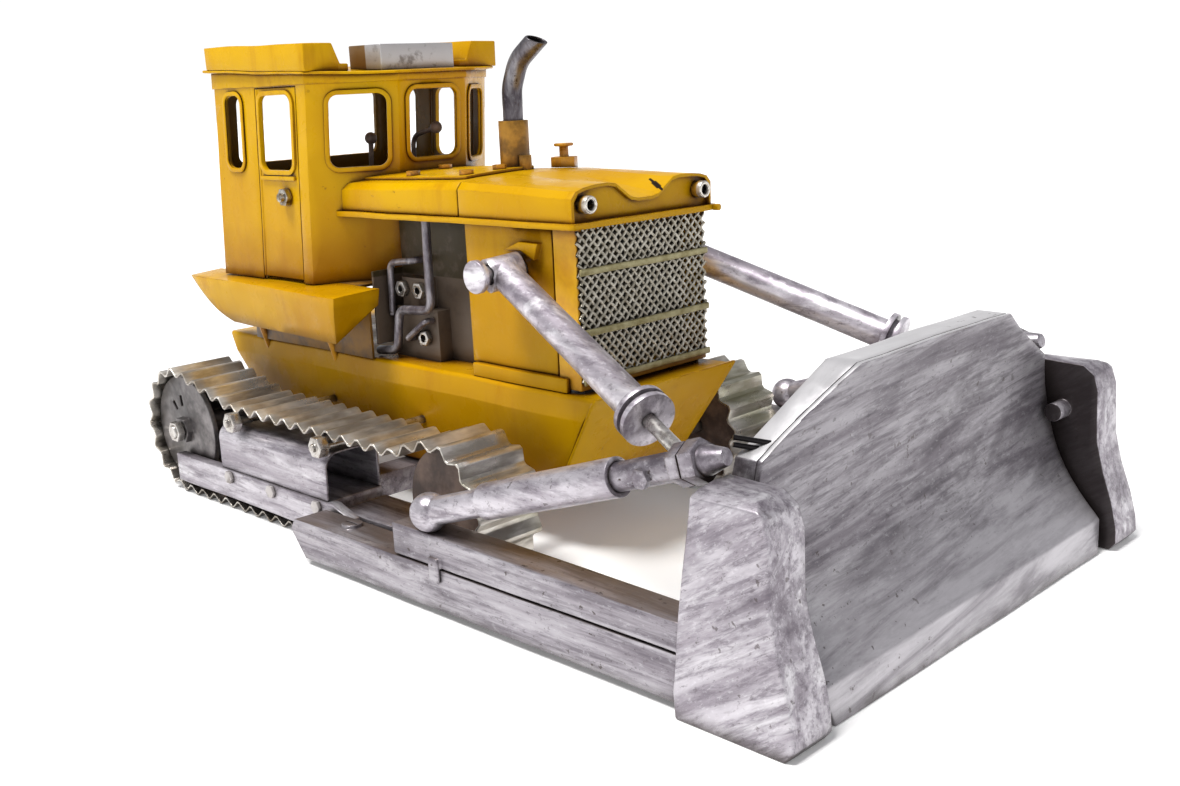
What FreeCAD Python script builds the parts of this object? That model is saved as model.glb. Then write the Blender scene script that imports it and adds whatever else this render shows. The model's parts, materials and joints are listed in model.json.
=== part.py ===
# Toy bulldozer made of bent sheet metal, tube and fasteners.
# Frame: millimetres, +X towards the blade, +Y to the vehicle's left, +Z up, ground at Z = 0.
# Stations along X are measured from the middle of the track bay and are shifted when saved,
# so that the saved parts have their origin under the middle of the whole vehicle.
import FreeCAD, Part
import math
import os

V = FreeCAD.Vector

# ---- driving dimensions -------------------------------------------------------------------
SHEET = 1.2                      # thickness of the yellow sheet metal
BELT_PITCH = 10.4
SPROCKET_X, SPROCKET_Z = -158.0, 29.7
IDLER_X, IDLER_Z = 28.5, 27.5
TRACK_IN, TRACK_OUT = 57.0, 88.0        # inner and outer edge of a track, from the middle plane
BELT_WAVE = 4.0                  # height of the belt's corrugation
BELT_SHEET = 1.0
BELT_TOP_Z = 49.5                # crests of the belt's upper run
WHEEL_GAP = 0.4                  # between a wheel's rim and the belt
AXLE_R = 3.0

HULL_REAR_X, HULL_NOSE_X = -187.5, 67.8
HULL_TOP_Z, HULL_BOTTOM_Z = 66.0, 22.0
HULL_HALF_TOP, HULL_HALF_BOTTOM = 40.7, 35.6
HULL_NOSE_SLOPE = 0.662          # how far the nose runs back for each unit down

HOOD_HALF = 39.0
HOOD_BASE_Z, HOOD_TOP_Z = 129.6, 144.4
HOOD_SEAM_X, HOOD_FRONT_X = -4.0, 60.0
RIM_HALF, RIM_HEIGHT = 41.0, 2.2
GRILLE_X, GRILLE_HALF = 57.8, 36.2
GRILLE_BOTTOM_Z, GRILLE_TOP_Z = 69.3, 127.4

CAB_BASE_Z, CAB_TOP_Z = 98.0, 187.0
CAB_RAKE = 8.0 / 89.0            # the cab leans forward this much for each unit up
CAB_REAR_X, CAB_CORNER_X, CAB_NOSE_X = -167.0, -93.0, -70.0
CAB_HALF, NOSE_HALF = 50.0, 18.5
ROOF_REAR_Z, ROOF_SLOPE = 190.4, -0.042
DOOR_START, DOOR_END, DOOR_TOP_Z = 35.8, 66.4, 182.4    # along the side wall from its rear edge
WINDOW_ROUND = 4.0

ARM_PIVOT = V(-30.0, 0.0, 11.0)
ARM_OUT, ARM_IN = 107.0, 92.0
ARM_FRONT_X = 163.0
LIFT_PIVOT = V(28.3, -45.5, 111.1)      # where the lift cylinder hangs on the hood side
ROD_PIN = V(147.0, -80.0, 66.5)         # where its rod holds the strut
STRUT_BALL = V(48.7, -104.0, 36.6)
STRUT_TIP = V(171.0, -95.0, 75.4)
BLADE_TIP_X = 203.0
WING_TIP_X = 206.5
WING_IN, WING_OUT, WING_TOP_Z = 92.0, 111.0, 69.5
BLADE_HALF = 90.5
BLADE_TOP_Z, BLADE_TOP_HALF = 95.3, 46.3

SPROCKET_CREST_R = SPROCKET_Z
REAR_X = SPROCKET_X - SPROCKET_CREST_R
MIDDLE_X = (REAR_X + WING_TIP_X) / 2
BIG = 400.0


# ---- small building blocks ------------------------------------------------------------------
def corner_arc(before, corner, after, radius):
    """Start, middle and end of the round that replaces one corner of an outline."""
    back = (before - corner).normalize()
    ahead = (after - corner).normalize()
    half = back.getAngle(ahead) / 2
    reach = radius / math.tan(half)
    centre = corner + (back + ahead).normalize() * (radius / math.sin(half))
    middle = centre + (corner - centre).normalize() * radius
    return corner + back * reach, middle, corner + ahead * reach


def outline(corners, radius=0.0):
    """Closed flat wire on the corners, each rounded to the radius."""
    if radius <= 0:
        return Part.makePolygon(corners + [corners[0]])
    count = len(corners)
    arcs = []
    for i, corner in enumerate(corners):
        arcs.append(corner_arc(corners[i - 1], corner, corners[(i + 1) % count], radius))
    edges = []
    for i, (start, middle, end) in enumerate(arcs):
        edges.append(Part.Arc(start, middle, end).toShape())
        edges.append(Part.LineSegment(end, arcs[(i + 1) % count][0]).toShape())
    return Part.Wire(edges)


def plate(corners, thickness, radius=0.0):
    """Flat outline given thickness along a vector."""
    return Part.Face(outline(corners, radius)).extrude(thickness)


def side_prism(points, y0, y1, radius=0.0):
    """Outline of (x, z) points, seen from the side, carried from y0 to y1."""
    return plate([V(x, y0, z) for x, z in points], V(0, y1 - y0, 0), radius)


def cross_prism(points, x0, x1, radius=0.0):
    """Outline of (y, z) points, seen from the front, carried from x0 to x1."""
    return plate([V(x0, y, z) for y, z in points], V(x1 - x0, 0, 0), radius)


def plan_prism(points, z0, z1, radius=0.0):
    """Outline of (x, y) points, seen from above, carried from z0 to z1."""
    return plate([V(x, y, z0) for x, y in points], V(0, 0, z1 - z0), radius)


def box(x0, x1, y0, y1, z0, z1):
    return Part.makeBox(x1 - x0, y1 - y0, z1 - z0, V(x0, y0, z0))


def rod(start, end, radius):
    return Part.makeCylinder(radius, (end - start).Length, start, end - start)


def tube(start, end, radius, bore):
    along = (end - start).normalize()
    return rod(start, end, radius).cut(rod(start - along, end + along, bore))


def hexagon(start, direction, flats, height):
    """Six-sided prism that stands on start and points along direction."""
    turn = FreeCAD.Rotation(V(0, 0, 1), direction)
    reach = flats / math.sqrt(3)
    corners = []
    for i in range(6):
        angle = math.radians(60 * i)
        corners.append(start + turn.multVec(V(reach * math.cos(angle), reach * math.sin(angle), 0)))
    return plate(corners, direction.normalize() * height)


def bent_pipe(points, radius, bend):
    """Solid pipe on straight runs joined by tangent arcs."""
    edges = []
    at = points[0]
    for i in range(1, len(points) - 1):
        start, middle, end = corner_arc(points[i - 1], points[i], points[i + 1], bend)
        edges.append(Part.LineSegment(at, start).toShape())
        edges.append(Part.Arc(start, middle, end).toShape())
        at = end
    edges.append(Part.LineSegment(at, points[-1]).toShape())
    ring = Part.Wire([Part.Circle(points[0], points[1] - points[0], radius).toShape()])
    return Part.Wire(edges).makePipeShell([ring], True, True)


def mirrored(shape):
    """The same piece on the other side of the middle plane."""
    return shape.mirror(V(0, 0, 0), V(0, 1, 0))


def group(shapes):
    return Part.makeCompound(shapes)


def fused(shapes):
    whole = shapes[0].fuse(shapes[1:])
    return whole.removeSplitter()


def save(name, shape):
    moved = shape.copy()
    moved.translate(V(-MIDDLE_X, 0, 0))
    moved.exportStep("parts/" + name + ".step")


def save_both(stem, right):
    """One node for the right-hand piece and one for its mirror image."""
    save(stem + "_right", right)
    save(stem + "_left", mirrored(right))


# ---- hull -----------------------------------------------------------------------------------
def hull_solid(inset):
    """Hull's outside, or its inside when given an inset."""
    top, low = HULL_TOP_Z - inset, HULL_BOTTOM_Z + inset
    half_top, half_low = HULL_HALF_TOP - inset, HULL_HALF_BOTTOM - inset
    section = [(-half_low, low), (half_low, low), (half_top, top - 9),
               (half_top - 1.2, top), (1.2 - half_top, top), (-half_top, top - 9)]
    body = cross_prism(section, HULL_REAR_X - 5, HULL_NOSE_X + 5, 2.0 - inset)
    rear = side_prism([(HULL_REAR_X - 17.5 + inset, 90), (HULL_REAR_X + 35 + inset, 18),
                       (HULL_REAR_X - 60, 18), (HULL_REAR_X - 60, 90)], -BIG, BIG)
    return body.cut(nose_cut(0.0)).cut(rear)


def nose_cut(offset):
    """Everything ahead of the sloping nose, moved forward by the offset."""
    top_x = HULL_NOSE_X + HULL_NOSE_SLOPE * 20 + offset
    low_x = HULL_NOSE_X - HULL_NOSE_SLOPE * HULL_TOP_Z + offset
    return side_prism([(low_x, 0), (BIG, 0), (BIG, 86), (top_x, 86)], -BIG, BIG)


def hull_tub():
    tub = hull_solid(0.0).cut(hull_solid(SHEET))
    for x, z in ((SPROCKET_X, SPROCKET_Z), (IDLER_X, IDLER_Z)):
        tub = tub.cut(rod(V(x, -60, z), V(x, 60, z), AXLE_R + 0.02))
    return tub


def hull_front_plate():
    slab = nose_cut(0.0).cut(nose_cut(1.8))
    trim = cross_prism([(-36.6, 26), (36.6, 26), (41.6, 66.6), (-41.6, 66.6)], 0, 100, 1.5)
    return slab.common(trim)


# ---- hood, grille and exhaust ------------------------------------------------------------------
def crown_height(y):
    """Height of the hood at its seam: a little higher in the middle than at its sides."""
    return HOOD_TOP_Z + 0.8 - 1.8 * (y / 36.0) ** 2


def rear_height(y):
    return crown_height(y) - 2.4


def brow_height(y):
    """Height of the hood's front edge: a brow over each lamp and a dip between them."""
    return 142.9 - 7.0 * math.exp(-((y / 13.0) ** 4)) - 1.6 * (y / 36.0) ** 8


def hood_section(x, half, height, lift):
    """Closed cross-section of the hood at one station, its top raised by the lift."""
    corners = [V(x, -half, HOOD_BASE_Z), V(x, -half, height(36) + lift - 2.8)]
    steps = 18
    for i in range(steps + 1):
        y = (half - 2.4) * (2.0 * i / steps - 1)
        corners.append(V(x, y, height(y) + lift))
    corners += [V(x, half, height(36) + lift - 2.8), V(x, half, HOOD_BASE_Z)]
    return Part.makePolygon(corners + [corners[0]])


def hood_block(x0, x1, height0, height1, half, lift):
    """Solid as wide and high as the hood between two stations."""
    ends = [hood_section(x0, half, height0, lift), hood_section(x1, half, height1, lift)]
    return Part.makeLoft(ends, True, True)


def rear_hood_block(half=HOOD_HALF, lift=0.0, grow=0.0):
    x0, x1 = HOOD_SEAM_X - 94.0 - grow, HOOD_SEAM_X + grow
    return hood_block(x0, x1, rear_height, crown_height, half, lift)


def hood_rear_cover():
    cover = rear_hood_block().cut(rear_hood_block(HOOD_HALF - SHEET, -SHEET, 0.01))
    return cover.cut(cab_prism(0.15))


def hood_front_cover():
    start, front, inner_half = HOOD_SEAM_X + 0.8, HOOD_FRONT_X, HOOD_HALF - SHEET
    outer = hood_block(start, front, crown_height, brow_height, HOOD_HALF, 0.0)
    inner = hood_block(start - 0.01, front + 0.01, crown_height, brow_height, inner_half, -SHEET)
    wall = inner.common(box(56.6, 58.0, -BIG, BIG, 0, 200))
    lamps = group([rod(V(50, y, 136.0), V(70, y, 136.0), 1.9) for y in (-32, 32)])
    return fused([outer.cut(inner), wall]).cut(lamps)


def hood_rim():
    """Bead that runs under the hood along both sides and across the front."""
    z0 = HOOD_BASE_Z - RIM_HEIGHT
    front = HOOD_FRONT_X + 1.6
    outer = plan_prism([(-98, -RIM_HALF), (front, -RIM_HALF), (front, RIM_HALF), (-98, RIM_HALF)],
                       z0, HOOD_BASE_Z, 2.0)
    inner = box(-99, 46.0, -35.9, 35.9, z0 - 1, HOOD_BASE_Z + 1)
    rim = outer.cut(inner).cut(cab_prism(0.15))
    knob = rod(V(front, RIM_HALF - 2, z0 + 1), V(front + 2.6, RIM_HALF - 2, z0 + 1), 1.3)
    return fused([rim, knob])


PLATE_THICK = 1.3


def hood_plate():
    """Raised inspection plate just ahead of the cab, laid on the hood's crown."""
    raised = rear_hood_block(HOOD_HALF, PLATE_THICK)
    shape = plan_prism([(-92, -31), (-7, -31), (-5, 4), (-25, 22), (-40, 31), (-92, 31)],
                       100, 180, 1.0)
    return raised.common(shape).cut(cab_prism(0.15)).cut(rear_hood_block())


def hood_bolts():
    heads = []
    for x, y in ((-45.5, -27.0), (-54.0, -3.0), (-12.0, -26.5), (-10.5, -10.0)):
        foot = crown_height(y) + PLATE_THICK + 2.4 * (x - HOOD_SEAM_X) / 94.0 - 0.15
        heads.append(hexagon(V(x, y, foot), V(0, 0, 1), 5.2, 2.0).cut(hood_plate()))
    return heads


def radiator_cap():
    x, y, z = -10.5, 27.0, HOOD_TOP_Z - 1.0
    foot = hexagon(V(x, y, z), V(0, 0, 1), 10.4, 5.2).cut(rear_hood_block())
    stem = rod(V(x, y, z + 5.2), V(x, y, z + 9.6), 2.0)
    lid = rod(V(x, y, z + 9.6), V(x, y, z + 10.8), 4.2)
    return fused([foot, stem, lid])


EXHAUST = V(-14.5, 2.5, 146.0)


def exhaust_sleeve():
    top = EXHAUST + V(0, 0, 19)
    lump = rod(EXHAUST + V(8.3, -2, -1), EXHAUST + V(8.3, -2, 5), 2.6)
    sleeve = fused([rod(EXHAUST - V(0, 0, 1), top, 6.2), lump])
    sleeve = sleeve.cut(rod(EXHAUST + V(0, 0, 4), top + V(0, 0, 1), 4.5))
    return sleeve.cut(rear_hood_block()).cut(hood_plate())


def exhaust_pipe():
    foot = EXHAUST + V(0, 0, 4)
    points = [foot, foot + V(0.3, 0, 28), foot + V(5, 0, 38.5), foot + V(23, 0, 50.5)]
    pipe = bent_pipe(points, 4.2, 14.0).cut(bent_pipe(points, 3.3, 14.0))
    tip = foot + V(14, 0, 47.5)
    above = side_prism([(tip.x - 20, tip.z + 8), (tip.x + 30, tip.z - 12), (tip.x + 30, 260),
                        (tip.x - 20, 260)], -BIG, BIG)
    return pipe.cut(above)


def headlights():
    lamps = []
    for y in (-32, 32):
        lamps.append(tube(V(58.0, y, 136.0), V(63.0, y, 136.0), 3.3, 1.9))
    return group(lamps)


def grille_mesh():
    """Diamond mesh, cut from one sheet: square holes stood on their corners."""
    pitch, opening = 2.8, 1.7
    reach = opening / math.sqrt(2)
    step = pitch / math.sqrt(2)
    wires = []
    rows = int((GRILLE_TOP_Z - GRILLE_BOTTOM_Z - 2 * step) / step)
    columns = int((2 * GRILLE_HALF - 2 * step) / step)
    for row in range(rows + 1):
        for column in range(columns + 1):
            if (row + column) % 2:
                continue
            y = (column - columns / 2) * step
            z = (GRILLE_TOP_Z + GRILLE_BOTTOM_Z) / 2 + (row - rows / 2) * step
            hole = [V(0, y - reach, z), V(0, y, z + reach), V(0, y + reach, z), V(0, y, z - reach)]
            wires.append(Part.makePolygon(hole + [hole[0]]))
    edge = [V(0, y, z) for y, z in ((-GRILLE_HALF, GRILLE_BOTTOM_Z), (GRILLE_HALF, GRILLE_BOTTOM_Z),
                                    (GRILLE_HALF, GRILLE_TOP_Z), (-GRILLE_HALF, GRILLE_TOP_Z))]
    border = Part.makePolygon(edge + [edge[0]])
    sheet = Part.makeFace([border] + wires, "Part::FaceMakerBullseye")
    mesh = sheet.extrude(V(1.2, 0, 0))
    mesh.translate(V(GRILLE_X, 0, 0))
    return mesh


def grille_bars():
    front = GRILLE_X + 1.2
    bars = []
    for z in (70.6, 89.0, 111.5):
        bars.append(box(front, front + 1.2, -GRILLE_HALF, GRILLE_HALF, z - 1.3, z + 1.3))
    return group(bars)


def radiator_shell():
    """Yellow box round the radiator opening, closed behind and open to the mesh."""
    outer = box(46.2, GRILLE_X, -GRILLE_HALF, GRILLE_HALF, 67.0, GRILLE_TOP_Z)
    return outer.cut(box(47.6, 70, -34.8, 34.8, 70.5, GRILLE_TOP_Z - 1.4))


def side_panel():
    """Right-hand engine side sheet with its rear return and the ear of the lift bracket."""
    top = GRILLE_TOP_Z
    sheet = box(HOOD_SEAM_X, 45.4, -36.0, -34.6, 71.5, top)
    returned = box(HOOD_SEAM_X, HOOD_SEAM_X + 1.4, -34.6, -28.0, 71.5, top)
    ear = side_prism([(21, 118.2), (31, 118.2), (38, 115.0), (40.5, 121.5), (30, 121.8)],
                     -38.8, -36.0)
    return fused([sheet, returned, ear])


def side_sills():
    sill = box(-2.0, 52.0, -38.4, -30.0, HULL_TOP_Z, 71.5)
    sill = sill.cut(box(46.2, 60, -GRILLE_HALF, 0, 60, 80))
    return group([sill, mirrored(sill)])


# ---- engine ------------------------------------------------------------------------------------
def engine_block():
    """Engine and the wall behind it, folded from sheet and open below."""
    apron = box(-66, -64.8, -38, 38, 72, 104)
    outer = [box(-65, -10, -22, 22, HULL_TOP_Z, 126), box(-64, -34, -29, 29, HULL_TOP_Z, 88),
             box(-58, -42, -28, 28, 88, 101)]
    inner = [box(-63, -12, -20, 20, HULL_TOP_Z - 1, 124),
             box(-62, -36, -27, 27, HULL_TOP_Z - 1, 86), box(-56, -44, -26, 26, 80, 99)]
    return fused([fused(outer).cut(fused(inner)), apron])


def coolant_pipe():
    y = -33.5
    points = [V(-31.5, y, 139.0), V(-32.2, y, 89.2), V(-54.0, y, 87.6), V(-57.5, y, 69.5),
              V(-71.0, y, 68.2)]
    return bent_pipe(points, 1.9, 5.0)


def engine_hoses():
    arch = bent_pipe([V(-46, -22, 109), V(-46, -30.6, 109), V(-62.0, -30.6, 107),
                      V(-62.8, -30.6, 84)], 1.5, 4.0)
    low = bent_pipe([V(-37, -29, 84), V(-37, -33.4, 84), V(-50.5, -33.4, 75), V(-50.5, -29, 75)],
                    1.3, 1.9)
    return [arch, low]


def engine_nuts():
    spots = [V(-56.5, -28.0, 96.0), V(-44.8, -28.0, 96.0), V(-42.0, -29.0, 76.0)]
    nuts = []
    for spot in spots:
        nut = hexagon(spot, V(0, -1, 0), 6.4, 2.6)
        nuts.append(nut.cut(rod(spot, spot + V(0, -4, 0), 1.6)))
    return nuts


# ---- cab ---------------------------------------------------------------------------------------
def cab_corner(x, y, z):
    """Point of the raked cab whose foot is at (x, y)."""
    return V(x + CAB_RAKE * (z - CAB_BASE_Z), y, z)


CAB_PLAN = [(CAB_REAR_X, -CAB_HALF), (CAB_CORNER_X, -CAB_HALF), (CAB_NOSE_X, -NOSE_HALF),
            (CAB_NOSE_X, NOSE_HALF), (CAB_CORNER_X, CAB_HALF), (CAB_REAR_X, CAB_HALF)]


def cab_prism(grow, z0=CAB_BASE_Z - 10, z1=CAB_TOP_Z + 10):
    """Cab's outside between two heights, grown by a distance, or shrunk where it is negative."""
    wire = Part.makePolygon([cab_corner(x, y, z0) for x, y in CAB_PLAN + CAB_PLAN[:1]])
    if grow:
        wire = wire.makeOffset2D(grow, 2)
    return Part.Face(wire).extrude(V(CAB_RAKE * (z1 - z0), 0, z1 - z0))


def above_roof(lift):
    """Everything above the sloping roof line."""
    def height(x):
        return ROOF_REAR_Z + ROOF_SLOPE * (x + 159) + lift
    return side_prism([(-220, height(-220)), (0, height(0)), (0, 260), (-220, 260)], -BIG, BIG)


def wall_frame(index):
    """Foot, unit direction and outward normal of one cab wall."""
    start = V(*CAB_PLAN[index], CAB_BASE_Z)
    end = V(*CAB_PLAN[(index + 1) % len(CAB_PLAN)], CAB_BASE_Z)
    along = (end - start).normalize()
    upward = V(CAB_RAKE, 0, 1)
    normal = along.cross(upward).normalize()
    return start, along, normal


def on_wall(index, reach, z, out=0.0):
    start, along, normal = wall_frame(index)
    return start + along * reach + V(CAB_RAKE, 0, 1) * (z - CAB_BASE_Z) + normal * out


def window(index, span, heights, out0, out1, grow=0.0, radius=WINDOW_ROUND):
    """Rounded block that stands over one window, from out0 to out1 off the wall's face."""
    u0, u1 = span[0] - grow, span[1] + grow
    z0, z1 = heights[0] - grow, heights[1] + grow
    corners = [on_wall(index, u, z, out0) for u, z in ((u0, z0), (u1, z0), (u1, z1), (u0, z1))]
    normal = wall_frame(index)[2]
    return plate(corners, normal * (out1 - out0), radius + grow)


WALL_RIGHT, WALL_RIGHT_FRONT, WALL_NOSE, WALL_REAR = 0, 1, 2, 5
SIDE_WINDOW = (WALL_RIGHT, (9.5, 22.5), (148, 180))
FRONT_CORNER_WINDOW = (WALL_RIGHT_FRONT, (9.5, 34.0), (148, 178.5))
NOSE_WINDOW = (WALL_NOSE, (5.5, 31.5), (150.5, 179.5))
REAR_WINDOW = (WALL_REAR, (10, 90), (149, 180))
DOOR_WINDOW = (WALL_RIGHT, (38.4, 63.2), (147.5, 179.5))


def mirrored_too(shape):
    return [shape, mirrored(shape)]


def cab_body():
    shell = cab_prism(0, CAB_BASE_Z).cut(cab_prism(-SHEET, CAB_BASE_Z - 1))
    header = cab_prism(0.7, 183.4).cut(cab_prism(0, 180))
    body = shell.fuse(header).cut(above_roof(0))
    cuts = []
    for spec in (SIDE_WINDOW, FRONT_CORNER_WINDOW):
        cuts += mirrored_too(window(*spec, -4, 4))
    cuts += [window(*NOSE_WINDOW, -4, 4), window(*REAR_WINDOW, -4, 4)]
    doorway = window(WALL_RIGHT, (DOOR_START - 1.6, DOOR_END + 0.5), (90, DOOR_TOP_Z + 0.6),
                     -4, 4, 0, 0.5)
    cuts += mirrored_too(doorway)
    return body.cut(cuts).removeSplitter()


def window_bead(spec):
    return window(*spec, 0, 1.0, 2.0).cut(window(*spec, -1, 3))


def cab_window_frames():
    beads = []
    for spec in (SIDE_WINDOW, FRONT_CORNER_WINDOW):
        beads += mirrored_too(window_bead(spec))
    beads += [window_bead(NOSE_WINDOW), window_bead(REAR_WINDOW)]
    return group(beads)


def cab_roof():
    """Roof sheet with a shallow overhang."""
    sheet = above_roof(0).cut(above_roof(SHEET))
    shape = plan_prism([(-164, -53), (-82, -53), (-59, -21.5), (-59, 21.5), (-82, 53), (-164, 53)],
                       150, 220, 2.0)
    return sheet.common(shape)


def roof_box():
    """Long box on the roof's right-hand edge, sloped on its inner side."""
    def shape(inset):
        section = [(-53 + inset, 180 + inset), (-53 + inset, 230), (-30, 230),
                   (-30.5 - 2 * inset, 180 + inset)]
        lean = [(-159 + inset, 170), (-80 - inset, 170), (-80 - inset, 199.9 - inset),
                (-159 + inset, 201.6 - inset)]
        body = cross_prism(section, -BIG, BIG).common(side_prism(lean, -BIG, BIG))
        slant = cross_prism([(-34.6 - inset, 191.5), (-39.0 - inset, 201.7), (-25, 230), (-25, 191.5)],
                            -BIG, BIG)
        return body.cut(slant).common(above_roof(SHEET))
    return shape(0.0).cut(shape(1.0))


def roof_vent():
    outer = box(-94, -71, -20, 20, 150, 198.8).common(above_roof(SHEET))
    return outer.cut(box(-92.8, -72.2, -18.8, 18.8, 150, 197.6))


def cab_floor():
    """Floor sheet with two legs down to the hull and the console that carries the levers."""
    top = box(-164, -71, -41, 41, 96.8, CAB_BASE_Z)
    legs = [box(-160, -66, -41, -39.8, HULL_TOP_Z, 96.8), box(-160, -66, 39.8, 41, HULL_TOP_Z, 96.8)]
    posts = []
    for lever in (DRIVE_LEVER, BLADE_LEVER):
        x, y = lever
        posts.append(box(x - 3, x + 3, y - 5, y - 2, CAB_BASE_Z, CAB_BASE_Z + 8))
        posts.append(box(x - 3, x + 3, y + 2, y + 5, CAB_BASE_Z, CAB_BASE_Z + 8))
        posts.append(rod(V(x, y - 2, CAB_BASE_Z + 5), V(x, y + 2, CAB_BASE_Z + 5), 1.0))
    return fused([top] + legs + posts).cut(fender_pegs())


DRIVE_LEVER = (-92.0, 10.0)
BLADE_LEVER = (-95.0, -15.0)


def lever(base, points, bend):
    """Rod bent at its points, with a forked foot bored for its pin and a ball on top."""
    x, y = base
    pin_z = CAB_BASE_Z + 5
    foot = tube(V(x, y - 1.6, pin_z), V(x, y + 1.6, pin_z), 2.2, 1.08)
    shaft = bent_pipe([V(x, y, pin_z + 1.6)] + points, 1.1, bend)
    shaft = shaft.cut(rod(V(x, y - 4, pin_z), V(x, y + 4, pin_z), 1.08))
    ball = Part.makeSphere(2.7, points[-1])
    return fused([foot, shaft, ball])


def drive_lever():
    return lever(DRIVE_LEVER, [V(-92, 10, 158.5), V(-74.5, 10, 162.3)], 6.0)


def blade_lever():
    return lever(BLADE_LEVER, [V(-93, -15, 130), V(-90, -15, 159.0)], 8.0)


def hinge_line(z, side=WALL_RIGHT):
    return on_wall(side, DOOR_START, z, -SHEET / 2)


def door_hinge_pins():
    pin = rod(hinge_line(CAB_BASE_Z), hinge_line(DOOR_TOP_Z + 0.6), 0.5)
    return group(mirrored_too(pin))


def cab_door():
    """Right-hand door: leaf, rolled hinge edge, window bead, sill bead and knob."""
    leaf = window(WALL_RIGHT, (DOOR_START, DOOR_END), (CAB_BASE_Z + 1.5, DOOR_TOP_Z), -SHEET, 0,
                  0, 0.4)
    knuckle = rod(hinge_line(CAB_BASE_Z + 1.5), hinge_line(DOOR_TOP_Z), 1.05)
    bead = window_bead(DOOR_WINDOW)
    sill = window(WALL_RIGHT, (37.5, 64.5), (143.2, 145.0), 0, 1.2, 0, 0.6)
    leaf = fused([leaf, knuckle, bead, sill]).cut(window(*DOOR_WINDOW, -4, 4))
    leaf = leaf.cut(rod(hinge_line(CAB_BASE_Z - 2), hinge_line(DOOR_TOP_Z + 3), 0.58))
    knob_at = on_wall(WALL_RIGHT, 57.0, 136.0)
    knob = hexagon(knob_at, V(0, -1, 0), 7.0, 2.8)
    stud = rod(knob_at + V(0, -2.8, 0), knob_at + V(0, -4.6, 0), 1.9)
    return group([leaf, fused([knob, stud])])


# ---- side tanks ----------------------------------------------------------------------------------
TANK_IN = 41.0                   # tank's inner side, against the legs under the cab floor


def tank_section(x, edge, inset):
    """Cross-section of the tank at one station; edge is how far out its top edge is."""
    corners = [(-TANK_IN - inset, 98 - inset), (-edge + inset, 97 - inset),
               (-edge + 3.0 + inset * 0.7, 76.5 + inset * 1.6), (-TANK_IN - inset, 90.5 + inset)]
    return Part.makePolygon([V(x, y, z) for y, z in corners + corners[:1]])


def tank_solid(inset):
    """Boat-shaped tank beside the cab, wider towards the front; an inset gives its inside."""
    rear, front = -187.0 + inset, -50.0 - inset
    ends = [tank_section(rear, 57.5, inset), tank_section(front, 65.0, inset)]
    body = Part.makeLoft(ends, True, True)
    keel_start, keel_middle, keel_end = V(-187, 0, 97), V(-172, 0, 84.5), V(-144, 0, 75.0)
    curve = Part.Arc(keel_start, keel_middle, keel_end).toShape()
    rest = Part.makePolygon([keel_end, V(-100, 0, 60), V(-200, 0, 60), keel_start])
    belly = Part.Face(Part.Wire([curve] + rest.Edges)).extrude(V(0, -80, 0))
    belly.translate(V(inset, 0, inset))
    nose = side_prism([(-55.5 - inset, 100), (-62.5 - inset, 74), (-30, 74), (-30, 100)], -90, -30)
    return body.cut(belly).cut(nose)


def fender():
    return tank_solid(0.0).cut(tank_solid(SHEET))


def fender_pegs():
    pegs = []
    for x in (-153.0, -97.0):
        peg = rod(V(x + 2, -47.5, 88), V(x, -38.0, 60), 1.7).cut(hull_solid(0.0))
        pegs += mirrored_too(peg.cut(tank_solid(0.0)))
    return group(pegs)


# ---- tracks --------------------------------------------------------------------------------------
def belt_guide():
    """Middle line of the corrugated belt, seen from the side, as one closed wire."""
    middle = BELT_WAVE / 2
    rear_r, front_r = SPROCKET_Z - middle, IDLER_Z - middle
    rear, front = V(SPROCKET_X, 0, SPROCKET_Z), V(IDLER_X, 0, IDLER_Z)
    run_z = BELT_TOP_Z - middle

    def rim(centre, radius, degrees):
        angle = math.radians(degrees)
        return centre + V(math.cos(angle), 0, math.sin(angle)) * radius

    leave, reach = 72.0, 104.0      # where the upper run leaves the sprocket and meets the idler
    dip_rear, dip_front = V(-112, 0, run_z), V(6.0, 0, run_z - 1.0)
    rear_arc = Part.Arc(rim(rear, rear_r, 270), rim(rear, rear_r, 171), rim(rear, rear_r, leave))
    front_arc = Part.Arc(rim(front, front_r, reach), rim(front, front_r, 7), rim(front, front_r, -90))
    upper = Part.makePolygon([rim(rear, rear_r, leave), dip_rear, dip_front, rim(front, front_r, reach)])
    lower = Part.LineSegment(rim(front, front_r, -90), rim(rear, rear_r, 270)).toShape()
    return Part.Wire([rear_arc.toShape()] + upper.Edges + [front_arc.toShape(), lower])


def track_belt():
    """Endless corrugated sheet: flat crests and troughs joined by slopes."""
    guide = belt_guide()
    pitches = round(guide.Length / BELT_PITCH)
    steps = 12
    points = guide.discretize(Number=pitches * steps + 1)[:-1]
    count = len(points)
    outer, inner = [], []
    for pitch in range(pitches):
        for step, height in ((0, 1), (2, 1), (6, -1), (8, -1)):
            i = pitch * steps + step
            along = points[(i + 1) % count] - points[i - 1]
            outward = V(-along.z, 0, along.x).normalize()
            middle = points[i] + outward * (height * (BELT_WAVE - BELT_SHEET) / 2)
            outer.append(middle + outward * (BELT_SHEET / 2))
            inner.append(middle - outward * (BELT_SHEET / 2))
    band = Part.Face(outline(outer)).cut(Part.Face(outline(inner)))
    belt = band.extrude(V(0, TRACK_OUT - TRACK_IN, 0))
    belt.translate(V(0, -TRACK_OUT, 0))
    return belt


def wheel(x, z, crest_radius, rims, hub_radius):
    """Pair of discs on a hub that turns on the axle inside the belt."""
    radius = crest_radius - BELT_WAVE - WHEEL_GAP - 0.3
    pieces = [rod(V(x, y0, z), V(x, y1, z), radius) for y0, y1 in rims]
    pieces.append(rod(V(x, rims[0][0], z), V(x, rims[-1][1], z), hub_radius))
    return fused(pieces).cut(rod(V(x, -100, z), V(x, -40, z), AXLE_R + 0.06))


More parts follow.
